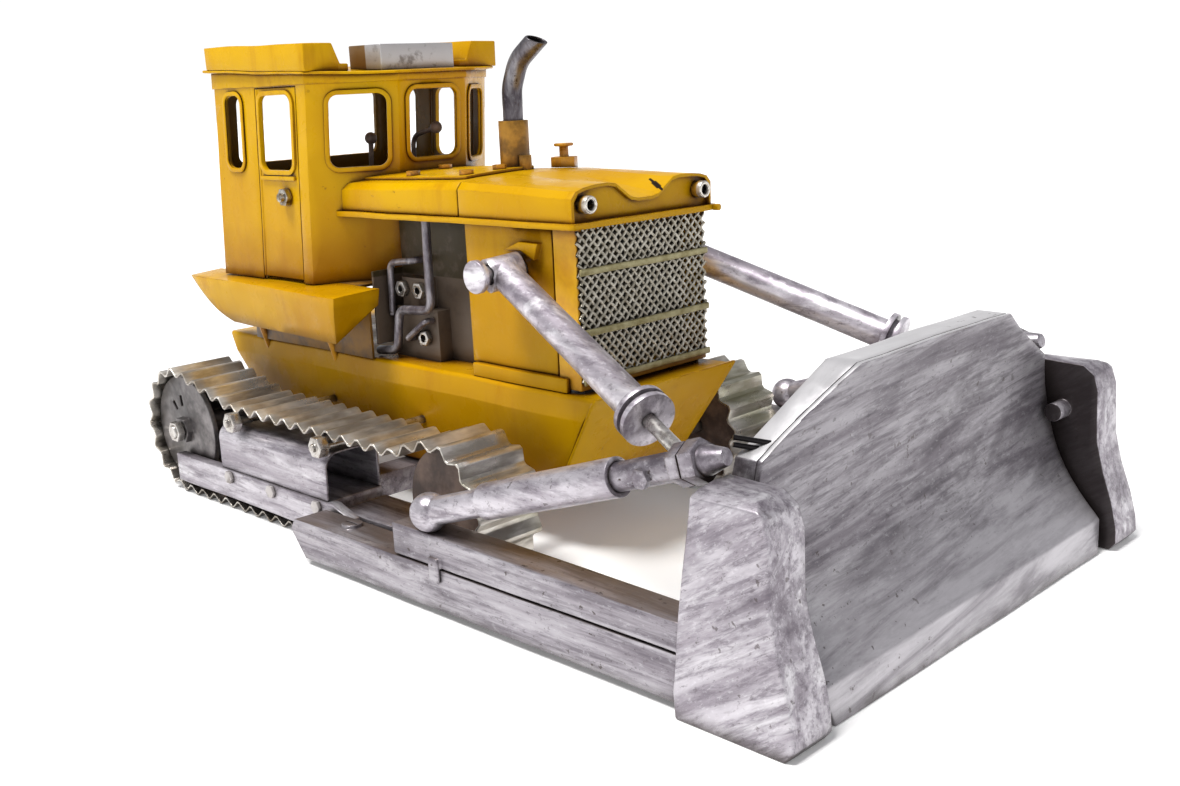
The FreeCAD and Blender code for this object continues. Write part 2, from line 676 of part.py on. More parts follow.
def sprocket():
    x, z = SPROCKET_X, SPROCKET_Z
    body = wheel(x, z, SPROCKET_Z, [(-84.3, -81.8), (-63.0, -60.5)], 6.0)
    boss = hexagon(V(x, -84.3, z), V(0, -1, 0), 11.0, 3.0)
    boss = boss.cut(rod(V(x, -90, z), V(x, -80, z), AXLE_R + 0.06))
    body = fused([body, boss])
    for angle in (100, 130):
        slot = box(x - 1.1, x + 1.1, -90, -80, z + 11, z + 16)
        slot.rotate(V(x, 0, z), V(0, -1, 0), angle - 90)
        body = body.cut(slot)
    return body


def idler():
    return wheel(IDLER_X, IDLER_Z, IDLER_Z, [(-79.0, -76.5), (-66.0, -63.5)], 6.0)


def axle(x, z, reach):
    return rod(V(x, -reach, z), V(x, reach, z), AXLE_R)


def axle_nuts():
    nuts = []
    for y0, direction in ((-88.0, -1), (88.0, 1)):
        at = V(SPROCKET_X, y0, SPROCKET_Z)
        nut = hexagon(at, V(0, direction, 0), 8.6, 3.2)
        nuts.append(nut.cut(rod(at + V(0, -5, 0), at + V(0, 5, 0), AXLE_R + 0.01)))
    return nuts


CARRIER_X, CARRIER_Z, CARRIER_R = (-102.0, -36.5), 43.0, 1.7


def carriers():
    """Cross bolts that carry the upper run, each with a nut at its outer end."""
    bolts = []
    for x in CARRIER_X:
        bolt = rod(V(x, -95.2, CARRIER_Z), V(x, -30.0, CARRIER_Z), CARRIER_R)
        bolt = bolt.cut(hull_solid(0.0))
        nut = hexagon(V(x, -89.2, CARRIER_Z), V(0, -1, 0), 8.0, 4.4)
        bolts += mirrored_too(fused([bolt, nut]))
    return bolts


def track_frame():
    rail = side_prism([(-160, 6), (-22, 6), (-22, 15), (-34, 19), (-160, 19)], -90, -85.2)
    floor = box(-122, -38, -85.2, -62, 8, 19)
    tray = box(-38.5, -2, -84, -60, 12.6, 14.6)
    return fused([rail, floor, tray])


def cross_beams():
    """Bars under the hull that join the two track frames."""
    return [box(x - 7, x + 7, -62, 62, 12, HULL_BOTTOM_Z) for x in (-110, -50)]


def roller_cover():
    """Bent guard over the rollers, open at both ends."""
    outer = cross_prism([(-88.8, 5), (-88.8, 39), (-62, 39), (-62, 5)], -120.7, -38.2, 6.5)
    inner = cross_prism([(-87.6, 3), (-87.6, 37.8), (-63.2, 37.8), (-63.2, 3)], -125, -30, 5.3)
    return outer.cut(inner).cut(box(-125, -30, -95, -55, 0, 19))


def frame_bolts():
    heads = []
    for x in (-112.0, -78.0, -44.0):
        heads += mirrored_too(hexagon(V(x, -90, 16.2), V(0, -1, 0), 5.2, 1.6))
    return heads


# ---- lift cylinders ------------------------------------------------------------------------------
CYLINDER_LINE = (ROD_PIN - LIFT_PIVOT).normalize()
CYLINDER_LENGTH = (ROD_PIN - LIFT_PIVOT).Length
PIVOT_R, BARREL_R, ROD_R = 3.4, 6.0, 2.5
COLLAR_AT = 104.5                # along the cylinder from its pivot


def raised_pin(degrees):
    """Where the rod's pin goes when the arms rise by an angle."""
    turn = FreeCAD.Rotation(V(0, -1, 0), degrees)
    foot = V(ARM_PIVOT.x, ROD_PIN.y, ARM_PIVOT.z)
    return foot + turn.multVec(ROD_PIN - foot)


BLADE_LIFT = 8.0                 # degrees
CYLINDER_SWING = CYLINDER_LINE.cross(raised_pin(BLADE_LIFT) - LIFT_PIVOT).normalize()


def on_cylinder(reach):
    return LIFT_PIVOT + CYLINDER_LINE * reach


def lift_pivots():
    foot = V(LIFT_PIVOT.x, -36.0, LIFT_PIVOT.z)
    pin = rod(foot, foot + V(0, -21.5, 0), PIVOT_R)
    disc = rod(foot + V(0, -21.5, 0), foot + V(0, -24.0, 0), 6.2)
    return group(mirrored_too(fused([pin, disc])))


def lift_barrel():
    eye_a, eye_b = LIFT_PIVOT + CYLINDER_SWING * 6.7, LIFT_PIVOT - CYLINDER_SWING * 6.7
    barrel = rod(on_cylinder(0), on_cylinder(COLLAR_AT), BARREL_R)
    flanges = [rod(on_cylinder(COLLAR_AT - 3), on_cylinder(COLLAR_AT - 1), 9.5),
               rod(on_cylinder(COLLAR_AT - 1), on_cylinder(COLLAR_AT + 1), 7.2),
               rod(on_cylinder(COLLAR_AT + 1), on_cylinder(COLLAR_AT + 3), 9.5)]
    body = fused([barrel, rod(eye_a, eye_b, 6.4)] + flanges)
    bore = rod(on_cylinder(14), on_cylinder(COLLAR_AT - 3.5), 4.5)
    gland = rod(on_cylinder(50), on_cylinder(COLLAR_AT + 9), ROD_R + 0.08)
    pivot_bore = rod(LIFT_PIVOT + V(0, 20, 0), LIFT_PIVOT + V(0, -20, 0), PIVOT_R + 0.55)
    return body.cut([bore, gland, pivot_bore])


def lift_rod():
    shaft = rod(on_cylinder(74), on_cylinder(CYLINDER_LENGTH - 3.5), ROD_R)
    piston = rod(on_cylinder(74), on_cylinder(80), 4.42)
    eye = rod(ROD_PIN + V(0, -2.8, 0), ROD_PIN + V(0, 2.8, 0), 5.2)
    hole = rod(ROD_PIN + V(0, -9, 0), ROD_PIN + V(0, 9, 0), 2.9)
    return fused([shaft, piston, eye]).cut(hole)


# ---- blade and push arms ---------------------------------------------------------------------------
def blade_profile(depth):
    """Edges of the blade's concave front, moved back by the depth, from the tip to the top."""
    tip, knee = V(BLADE_TIP_X - depth, 0, 0), V(201.4 - depth, 0, 12)
    hollow, top = V(181.0 - depth, 0, 46), V(186.0 - depth, 0, BLADE_TOP_Z + 1)
    return [Part.LineSegment(tip, knee).toShape(), Part.Arc(knee, hollow, top).toShape()], tip, top


def blade_slab(front_depth, back_points):
    """Solid between the concave front at one depth and a line of (x, z) points behind it."""
    edges, tip, top = blade_profile(front_depth)
    corners = [top] + [V(x, 0, z) for x, z in back_points] + [tip]
    rest = Part.makePolygon(corners)
    slab = Part.Face(Part.Wire(edges + rest.Edges)).extrude(V(0, 2 * BLADE_HALF + 10, 0))
    slab.translate(V(0, -BLADE_HALF - 5, 0))
    return slab


def blade_front_view(inset):
    """Blade's outline from the front: cut corners below, sloping shoulders above."""
    right = [(85.5, 0), (90.0, 14), (BLADE_HALF, 50), (86.5, 73), (BLADE_TOP_HALF, BLADE_TOP_Z)]
    right = [(y - inset, z) for y, z in right]
    right[0] = (right[0][0], inset)
    right[-1] = (BLADE_TOP_HALF - inset / 2, BLADE_TOP_Z - inset)
    return cross_prism(right + [(-y, z) for y, z in reversed(right)], 150, 220)


BLADE_SKIN = 2.0


def blade_plate():
    edges, tip, top = blade_profile(0.0)
    back_edges, back_tip, back_top = blade_profile(BLADE_SKIN)
    ends = [Part.LineSegment(top, back_top).toShape(), Part.LineSegment(back_tip, tip).toShape()]
    wire = Part.Wire(Part.__sortEdges__(edges + ends + back_edges))
    sheet = Part.Face(wire).extrude(V(0, 2 * BLADE_HALF + 10, 0))
    sheet.translate(V(0, -BLADE_HALF - 5, 0))
    return sheet.common(blade_front_view(0.0))


def blade_frame():
    """Back sheet and edge band that make the blade a thick hollow box."""
    back = [(172.6, BLADE_TOP_Z + 1), (167.5, 60), (172.0, 22), (188.0, 0)]
    inner_back = [(174.2, BLADE_TOP_Z + 1), (169.2, 60), (173.6, 22.6), (189.5, 0)]
    outside = blade_slab(BLADE_SKIN, back).common(blade_front_view(0.0))
    inside = blade_slab(BLADE_SKIN, inner_back).common(blade_front_view(1.6))
    return outside.cut(inside)


def blade_block():
    """Whole outer shape of the blade, filled."""
    slab = blade_slab(0.0, [(172.6, BLADE_TOP_Z + 1), (167.5, 60), (172.0, 22), (188.0, 0)])
    return slab.common(blade_front_view(0.0))


def wing_solid(inset):
    """Right-hand end box of the blade, or its inside when given an inset."""
    tip = WING_TIP_X - inset
    front = [(204.0 - inset, inset), (tip, 3), (tip - 0.4, 9), (tip - 2.5, 18.5), (tip - 6.2, 30),
             (tip - 8.6, 41), (tip - 8.9, 52), (tip - 9.2, 60), (tip - 11.0, 66 - inset)]
    rear = [(191.0, WING_TOP_Z - inset), (171.5 + inset, WING_TOP_Z + 0.5 - inset),
            (168.5 + inset, 49), (165.3 + inset, 24), (164.0 + inset, 8), (165.0 + inset, inset)]
    body = side_prism(front + rear, -115, -85)
    view = cross_prism([(-WING_IN - inset, -5), (-WING_OUT + inset, -5), (-108.0 + inset, 67.3),
                        (-104.0, 69.0), (-WING_IN - inset, 71)], 150, 220)
    return body.common(view)


def blade_wing():
    shell = wing_solid(0.0).cut(wing_solid(1.5))
    blade = blade_block()
    lugs = [rod(V(184.2, -95, 52.0), V(184.2, -84, 52.0), 3.4),
            rod(V(189.0, -95, 10.0), V(189.0, -84, 10.0), 3.0)]
    lugs = [lug.cut(blade).cut(wing_solid(0.0)) for lug in lugs]
    return fused([shell] + lugs)


def push_arm():
    beam = side_prism([(ARM_FRONT_X + 3, 2.5), (-29, 2.5), (-38, 13), (-35, 17.5),
                       (ARM_FRONT_X + 3, 17.5)], -ARM_OUT, -ARM_IN)
    hollow = box(-20, ARM_FRONT_X + 5, -ARM_OUT + 1.4, -ARM_IN - 1.4, 3.9, 16.1)
    beam = beam.cut(hollow).cut(wing_solid(0.0))
    hole = rod(V(ARM_PIVOT.x, -104.3, ARM_PIVOT.z), V(ARM_PIVOT.x, -80, ARM_PIVOT.z), 2.56)
    screw = rod(V(-9, -98, 17.5), V(-9, -98, 18.9), 4.0)
    slot = box(-12.5, -5.5, -98.5, -97.5, 18.3, 19.5)
    return fused([beam, screw]).cut(slot).cut(hole)


def arm_pivots():
    pin = rod(V(ARM_PIVOT.x, -90, ARM_PIVOT.z), V(ARM_PIVOT.x, -104.0, ARM_PIVOT.z), 2.5)
    return mirrored_too(pin)


def arm_channel():
    beam = side_prism([(ARM_FRONT_X + 4, 18.2), (30, 18.2), (30, 30), (ARM_FRONT_X + 4, 28)],
                      -ARM_OUT, -94)
    hollow = box(31.4, ARM_FRONT_X + 5, -ARM_OUT + 1.4, -95.4, 17, 26.4)
    beam = beam.cut(hollow).cut(wing_solid(0.0))
    clip = box(51, 56, -108.6, -ARM_OUT, 13, 22)
    return fused([beam, clip])


STRUT_LINE = (STRUT_TIP - STRUT_BALL).normalize()


def on_strut(reach):
    return STRUT_BALL + STRUT_LINE * reach


def strut():
    """Lower end ball, neck and sleeve of the tilt strut."""
    ball = Part.makeSphere(7.0, STRUT_BALL)
    neck = rod(on_strut(3), on_strut(31), 4.9)
    sleeve = rod(on_strut(30), on_strut(90), 6.3).cut(rod(on_strut(50), on_strut(95), 4.75))
    below = box(20, 170, -ARM_OUT - 10, -80, 0, 29.8)
    return fused([ball, neck, sleeve]).cut(below)


def strut_rod():
    """Rod, nut stack and cross bolt at the strut's front end."""
    reach = (STRUT_TIP - STRUT_BALL).Length
    shaft = rod(on_strut(52), on_strut(reach - 4), 4.6)
    nose = Part.makeCone(4.6, 2.6, 6.5, on_strut(reach - 4), STRUT_LINE)
    nuts = [hexagon(on_strut(reach - 15), STRUT_LINE, 11.4, 4.0),
            rod(on_strut(reach - 11.2), on_strut(reach - 10), 5.2),
            hexagon(on_strut(reach - 10.2), STRUT_LINE, 11.8, 5.0)]
    bolt = rod(V(ROD_PIN.x, -100.5, ROD_PIN.z), V(ROD_PIN.x, -74.5, ROD_PIN.z), 2.0)
    heads = [hexagon(V(ROD_PIN.x, -100.5, ROD_PIN.z), V(0, -1, 0), 5.6, 2.2),
             hexagon(V(ROD_PIN.x, -76.0, ROD_PIN.z), V(0, 1, 0), 6.4, 2.6)]
    return fused([shaft, nose, bolt] + nuts + heads).cut(wing_solid(0.0))


def tie_wire():
    """Two turns of wire from the nut stack to the blade's corner."""
    wires = []
    for lift in (0.0, 2.2):
        start = STRUT_TIP + V(-2.0, 8.4, 1.5 + lift)
        wire = rod(start, start + V(8.0, 8.5, -2.6), 0.8)
        wires.append(wire.cut(blade_block()))
    return wires


# ---- save everything -------------------------------------------------------------------------------
def main():
    os.makedirs("parts", exist_ok=True)
    save("hull_tub", hull_tub())
    save("hull_front_plate", hull_front_plate())
    save("hood_rear_cover", hood_rear_cover())
    save("hood_front_cover", hood_front_cover())
    save("hood_rim", hood_rim())
    save("hood_plate", hood_plate())
    save("small_bolts", group(hood_bolts() + frame_bolts()))
    save("radiator_cap", radiator_cap())
    save("exhaust_sleeve", exhaust_sleeve())
    save("exhaust_pipe", exhaust_pipe())
    save("headlights", headlights())
    save("grille_mesh", grille_mesh())
    save("grille_bars", grille_bars())
    save("radiator_shell", radiator_shell())
    save_both("side_panel", side_panel())
    save("side_sills", side_sills())
    save("engine_block", engine_block())
    pipes = [coolant_pipe()] + engine_hoses()
    save("coolant_pipes", group(pipes + [mirrored(pipe) for pipe in pipes]))
    nuts = engine_nuts()
    save("hex_nuts", group(nuts + [mirrored(nut) for nut in nuts] + axle_nuts()))
    save("cab_body", cab_body())
    save("cab_window_frames", cab_window_frames())
    save("cab_roof", cab_roof())
    save_both("roof_box", roof_box())
    save("roof_vent", roof_vent())
    save("cab_floor", cab_floor())
    save_both("fender", fender())
    save("fender_pegs", fender_pegs())
    save_both("track_belt", track_belt())
    save("track_frames", group(mirrored_too(track_frame()) + cross_beams()))
    save("roller_covers", group(mirrored_too(roller_cover())))
    save("carrier_bolts", group(carriers()))
    axles = [axle(SPROCKET_X, SPROCKET_Z, 92.0), axle(IDLER_X, IDLER_Z, 84.0)]
    save("axles", group(axles))
    save("lift_pivots", lift_pivots())
    save("arm_pivot_pins", group(arm_pivots()))
    save("door_hinge_pins", door_hinge_pins())
    save_both("sprocket", sprocket())
    save_both("idler", idler())
    save_both("cab_door", cab_door())
    save("drive_lever", drive_lever())
    save("blade_lever", blade_lever())
    save_both("lift_barrel", lift_barrel())
    save_both("lift_rod", lift_rod())
    save("blade_plate", blade_plate())
    save("blade_frame", blade_frame())
    save_both("blade_wing", blade_wing())
    save("push_arms", group(mirrored_too(push_arm())))
    save("arm_channels", group(mirrored_too(arm_channel())))
    save("struts", group(mirrored_too(strut())))
    ends = [strut_rod()] + tie_wire()
    save("strut_rods", group(ends + [mirrored(piece) for piece in ends]))


main()
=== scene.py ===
# Looks of the tin toy bulldozer: hand-formed skins over the CAD pieces, brushed paints, light and camera.
import json
import math
import random

import bmesh
import bpy
from mathutils import Matrix, Vector, noise

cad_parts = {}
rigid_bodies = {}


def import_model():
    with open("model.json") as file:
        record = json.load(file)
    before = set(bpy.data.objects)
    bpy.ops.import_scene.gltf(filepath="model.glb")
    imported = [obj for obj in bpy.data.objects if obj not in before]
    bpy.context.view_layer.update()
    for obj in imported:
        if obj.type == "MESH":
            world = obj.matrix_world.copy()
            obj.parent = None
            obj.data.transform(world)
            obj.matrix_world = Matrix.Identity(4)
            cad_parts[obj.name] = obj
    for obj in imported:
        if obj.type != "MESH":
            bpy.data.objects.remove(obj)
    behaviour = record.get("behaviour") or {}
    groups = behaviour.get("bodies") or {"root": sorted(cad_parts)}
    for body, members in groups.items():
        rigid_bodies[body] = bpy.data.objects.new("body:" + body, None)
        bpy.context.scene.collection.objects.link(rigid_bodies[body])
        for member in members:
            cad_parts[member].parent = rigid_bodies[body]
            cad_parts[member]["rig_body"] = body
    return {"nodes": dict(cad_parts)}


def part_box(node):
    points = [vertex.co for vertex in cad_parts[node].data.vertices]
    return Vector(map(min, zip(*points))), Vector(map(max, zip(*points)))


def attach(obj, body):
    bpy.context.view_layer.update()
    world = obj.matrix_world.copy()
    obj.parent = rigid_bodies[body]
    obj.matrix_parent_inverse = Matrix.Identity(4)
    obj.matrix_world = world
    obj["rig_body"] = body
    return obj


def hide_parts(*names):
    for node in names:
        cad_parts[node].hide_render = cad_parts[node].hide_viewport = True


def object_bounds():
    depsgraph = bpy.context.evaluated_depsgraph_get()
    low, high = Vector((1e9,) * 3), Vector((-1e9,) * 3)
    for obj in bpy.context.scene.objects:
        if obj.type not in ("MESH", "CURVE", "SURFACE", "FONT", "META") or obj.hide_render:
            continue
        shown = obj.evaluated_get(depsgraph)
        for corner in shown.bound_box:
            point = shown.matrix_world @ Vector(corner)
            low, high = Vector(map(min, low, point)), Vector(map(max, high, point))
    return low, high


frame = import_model()
cad_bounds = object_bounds()
nodes = frame["nodes"]
MM = 0.001
MIDDLE_X = 9.4 * MM                 # the build's stations are measured from here


def lerp(a, b, t):
    return a + (b - a) * t


def station(x):
    """An X station of the build, in mm, as an X of the frame."""
    return x * MM - MIDDLE_X


def rgb(r, g, b):
    return (r, g, b, 1.0)


def tone(color, factor):
    return rgb(*(value * factor for value in color[:3]))


# ---- shader helpers ---------------------------------------------------------------------------
class Shader:
    """Small wrapper that adds nodes to one material and joins them."""

    def __init__(self, name):
        self.material = bpy.data.materials.new(name)
        self.material.use_nodes = True
        self.tree = self.material.node_tree
        self.bsdf = self.tree.nodes["Principled BSDF"]

    def node(self, kind, settings=None, **inputs):
        made = self.tree.nodes.new(kind)
        for key, value in (settings or {}).items():
            setattr(made, key, value)
        for key, value in inputs.items():
            self.join(value, made.inputs[key])
        return made

    def join(self, value, socket):
        if isinstance(value, bpy.types.NodeSocket):
            self.tree.links.new(value, socket)
        else:
            socket.default_value = value

    def coords(self, scale=(1, 1, 1), turn=(0, 0, 0)):
        """Object coordinates; a scale below 1 stretches a pattern along that axis."""
        source = self.node("ShaderNodeTexCoord").outputs["Object"]
        mapping = self.node("ShaderNodeMapping", {"vector_type": "TEXTURE"}, Vector=source)
        mapping.inputs["Scale"].default_value = [1 / value for value in scale]
        mapping.inputs["Rotation"].default_value = turn
        return mapping.outputs["Vector"]

    def place(self):
        """X, Y and Z of the shaded point."""
        return self.node("ShaderNodeSeparateXYZ", Vector=self.coords()).outputs

    def facing(self):
        """X, Y and Z of the surface's normal."""
        normal = self.node("ShaderNodeNewGeometry").outputs["Normal"]
        return self.node("ShaderNodeSeparateXYZ", Vector=normal).outputs

    def noise(self, scale, detail=4.0, rough=0.55, vector=None, distortion=0.0):
        made = self.node("ShaderNodeTexNoise", Vector=vector or self.coords())
        made.inputs["Scale"].default_value = scale
        made.inputs["Detail"].default_value = detail
        made.inputs["Roughness"].default_value = rough
        made.inputs["Distortion"].default_value = distortion
        return made.outputs["Fac"]

    def ramp(self, value, low, high, out_low=0.0, out_high=1.0, kind="SMOOTHSTEP"):
        made = self.node("ShaderNodeMapRange", {"interpolation_type": kind}, Value=value)
        made.inputs["From Min"].default_value = low
        made.inputs["From Max"].default_value = high
        made.inputs["To Min"].default_value = out_low
        made.inputs["To Max"].default_value = out_high
        return made.outputs["Result"]

    def math(self, kind, a, b=0.0):
        made = self.node("ShaderNodeMath", {"operation": kind})
        self.join(a, made.inputs[0])
        self.join(b, made.inputs[1])
        return made.outputs[0]

    def times(self, a, b):
        return self.math("MULTIPLY", a, b)

    def vector_math(self, kind, a, b, socket=1):
        made = self.node("ShaderNodeVectorMath", {"operation": kind})
        self.join(a, made.inputs[0])
        self.join(b, made.inputs[socket])
        return made.outputs

    def mix(self, fac, a, b):
        made = self.node("ShaderNodeMix", {"data_type": "RGBA"})
        self.join(fac, made.inputs[0])
        self.join(a, made.inputs[6])
        self.join(b, made.inputs[7])
        return made.outputs[2]

    def creases(self, distance):
        """1 in recesses, 0 on open faces."""
        made = self.node("ShaderNodeAmbientOcclusion", {"samples": 8})
        made.inputs["Distance"].default_value = distance
        return self.math("SUBTRACT", 1.0, made.outputs["AO"])

    def edges(self, radius):
        """1 on outer edges, 0 on faces."""
        rounded = self.node("ShaderNodeBevel", {"samples": 4})
        rounded.inputs["Radius"].default_value = radius
        plain = self.node("ShaderNodeNewGeometry").outputs["Normal"]
        turned = self.vector_math("DOT_PRODUCT", rounded.outputs["Normal"], plain)["Value"]
        return self.ramp(turned, 0.995, 0.90)

    def near_line(self, start, end, reach):
        """1 close to the straight line between two points, 0 away from it."""
        start, run = Vector(start), Vector(end) - Vector(start)
        offset = self.vector_math("SUBTRACT", self.coords(), start)["Vector"]
        along = self.vector_math("DOT_PRODUCT", offset, run / run.length_squared)["Value"]
        share = self.ramp(along, 0.0, 1.0, kind="LINEAR")
        foot = self.vector_math("SCALE", run, share, "Scale")["Vector"]
        gap = self.vector_math("DISTANCE", offset, foot)["Value"]
        return self.ramp(gap, reach, reach * 0.6)

    def bump(self, height, strength, distance, below=None):
        made = self.node("ShaderNodeBump", Height=height)
        made.inputs["Strength"].default_value = strength
        made.inputs["Distance"].default_value = distance
        if below is not None:
            self.join(below, made.inputs["Normal"])
        return made.outputs["Normal"]

    def finish(self, color, rough, metal, normal=None):
        self.join(color, self.bsdf.inputs["Base Color"])
        self.join(rough, self.bsdf.inputs["Roughness"])
        self.join(metal, self.bsdf.inputs["Metallic"])
        if normal is not None:
            self.join(normal, self.bsdf.inputs["Normal"])
        return self.material


# ---- paints and metals, in linear colours ---------------------------------------------------------
ENAMEL = {
    "deep": rgb(0.50, 0.252, 0.0006), "light": rgb(0.61, 0.345, 0.0009), "stroke": rgb(0.41, 0.178, 0.0008),
    "lime": rgb(0.50, 0.42, 0.004), "shade": rgb(0.31, 0.125, 0.001), "low_shade": rgb(0.27, 0.110, 0.001),
    "under": rgb(0.085, 0.036, 0.001), "grime_and_shade": rgb(0.15, 0.050, 0.002), "seam": rgb(0.030, 0.011, 0.003),
    "scuff": rgb(0.16, 0.05, 0.008), "worn": rgb(0.20, 0.068, 0.006), "inside": rgb(0.045, 0.022, 0.004),
    "tear": rgb(0.012, 0.006, 0.002),
}
ENAMEL_IOR = 1.20                    # low, because the old paint hardly mirrors the floor
SILVER = {
    "dark": rgb(0.270, 0.243, 0.275), "light": rgb(0.50, 0.475, 0.51), "hair": rgb(0.145, 0.125, 0.150),
    "stain": rgb(0.095, 0.078, 0.098), "shine": rgb(0.66, 0.645, 0.67), "fleck": rgb(0.74, 0.73, 0.76),
    "pit": rgb(0.09, 0.075, 0.085), "top": rgb(0.78, 0.77, 0.78), "low": rgb(0.62, 0.60, 0.63),
    "brown": rgb(0.165, 0.122, 0.098), "dirt_and_shade": rgb(0.035, 0.025, 0.021), "worn": rgb(0.075, 0.055, 0.042),
    "chip": rgb(0.055, 0.04, 0.035), "inside": rgb(0.022, 0.016, 0.016), "wire": rgb(0.012, 0.010, 0.011),
}
KNOB_Y, KNOB_Z, KNOB_X = 50.5 * MM, 136 * MM, station(-116)      # the door knob lies beyond these in Y and X
KNOB_RADIUS = 5 * MM
KNOB_BRIGHT, KNOB_RUST = rgb(0.46, 0.44, 0.40), rgb(0.12, 0.08, 0.04)
# painted highlight on the blade's foot, between these heights
BLADE_HIGHLIGHT_BAND = (12 * MM, 42 * MM)       # the blade gets lighter from the upper height down to the lower one
TIE_X, TIE_Y = station(164.0), 88.7 * MM                         # the tie wires lie beyond and inside these
TIE_BLEND = 0.2 * MM
LAMP_RIM_X = station(61.0)
LAMP_BLEND = 0.4 * MM
# the painted shade behind the grille mesh lies behind this station and within this half width
MESH_BACK_X = station(48.0)
MESH_HALF_WIDTH = 34.5 * MM


def yellow_paint(name="yellow_paint", inside_x=None, knob=False, tear=None, low=None, under=0.0):
    """Thick yellow enamel. inside_x: middle of a cab whose faces turned inward get painted shade. low: the
    heights between which painted shade fades out towards the bottom. under: how dark the painted shade on
    downward faces is."""
    s = Shader(name)
    place, facing = s.place(), s.facing()
    broad = s.noise(14, 3, 0.5)
    patch = s.noise(60, 5, 0.6)
    stroke = s.noise(90, 5, 0.65, s.coords((1, 1, 0.16)))
    color = s.mix(s.ramp(broad, 0.35, 0.68), ENAMEL["deep"], ENAMEL["light"])
    color = s.mix(s.ramp(stroke, 0.52, 0.74, 0.0, 0.55), color, ENAMEL["stroke"])
    color = s.mix(s.times(s.ramp(s.noise(9, 2), 0.60, 0.72), 0.35), color, ENAMEL["lime"])
    # painted shade: the enamel darkens in large recesses, found with a wide occlusion reach
    color = s.mix(s.times(s.ramp(s.creases(0.050), 0.26, 0.80), 0.85), color, ENAMEL["shade"])
    # painted shade: the enamel darkens in patches towards the bottom, between the heights in low
    if low is not None:
        low_shade = s.times(s.ramp(place["Z"], low[1], low[0]), s.ramp(patch, 0.2, 0.7, 0.35, 0.75))
        color = s.mix(low_shade, color, ENAMEL["low_shade"])
    # painted shade: faces turned downward darken
    if under > 0:
        color = s.mix(s.ramp(facing["Z"], -0.12, -0.55, 0.0, under), color, ENAMEL["under"])
    # dust and painted shade: mottled darkening in creases
    grime_and_shade = s.times(s.ramp(s.creases(0.013), 0.14, 0.58), s.ramp(patch, 0.28, 0.60, 0.5, 1.0))
    color = s.mix(s.times(grime_and_shade, 0.88), color, ENAMEL["grime_and_shade"])
    # dark joints and painted shade: near black in the tightest corners
    color = s.mix(s.times(s.ramp(s.creases(0.004), 0.25, 0.65), 0.92), color, ENAMEL["seam"])
    spots = s.noise(240, 4, 0.7)
    scuffs = s.times(s.ramp(spots, 0.66, 0.72), s.ramp(s.noise(20, 2), 0.46, 0.58))
    color = s.mix(s.times(scuffs, 0.65), color, ENAMEL["scuff"])
    worn = s.times(s.edges(0.0011), s.ramp(s.noise(55, 4), 0.46, 0.60))
    color = s.mix(s.times(worn, 0.75), color, ENAMEL["worn"])
    metal = 0.0
    # painted shade: faces of the cab turned inward, towards its middle, are near black
    if inside_x is not None:
        along = s.times(s.math("SUBTRACT", place["X"], inside_x), facing["X"])
        across = s.times(place["Y"], facing["Y"])
        inner = s.ramp(s.math("ADD", along, across), -0.012, -0.024)
        color = s.mix(s.times(inner, 0.88), color, ENAMEL["inside"])
    if knob:
        reach = s.ramp(s.math("ABSOLUTE", place["Y"]), KNOB_Y, KNOB_Y + 0.3 * MM)
        off_center = s.math("ABSOLUTE", s.math("SUBTRACT", place["Z"], KNOB_Z))
        high = s.ramp(off_center, KNOB_RADIUS, KNOB_RADIUS - 0.4 * MM)
        ahead = s.ramp(place["X"], KNOB_X, KNOB_X + 2 * MM)
        metal = s.times(s.times(reach, high), ahead)
        color = s.mix(metal, color, s.mix(s.ramp(spots, 0.40, 0.62), KNOB_BRIGHT, KNOB_RUST))
    # painted shade: the hood's tear is drawn as a near-black wedge, the shade of the opening
    if tear is not None:
        wide, narrow = s.near_line(*tear[0]), s.near_line(*tear[1])
        color = s.mix(s.math("MAXIMUM", wide, narrow), color, ENAMEL["tear"])
    ripple = s.bump(s.noise(45, 2, 0.4), 0.50, 0.0014)
    s.bsdf.inputs["IOR"].default_value = ENAMEL_IOR
    return s.finish(color, s.ramp(patch, 0.3, 0.7, 0.20, 0.40), metal, s.bump(stroke, 0.25, 0.0004, ripple))


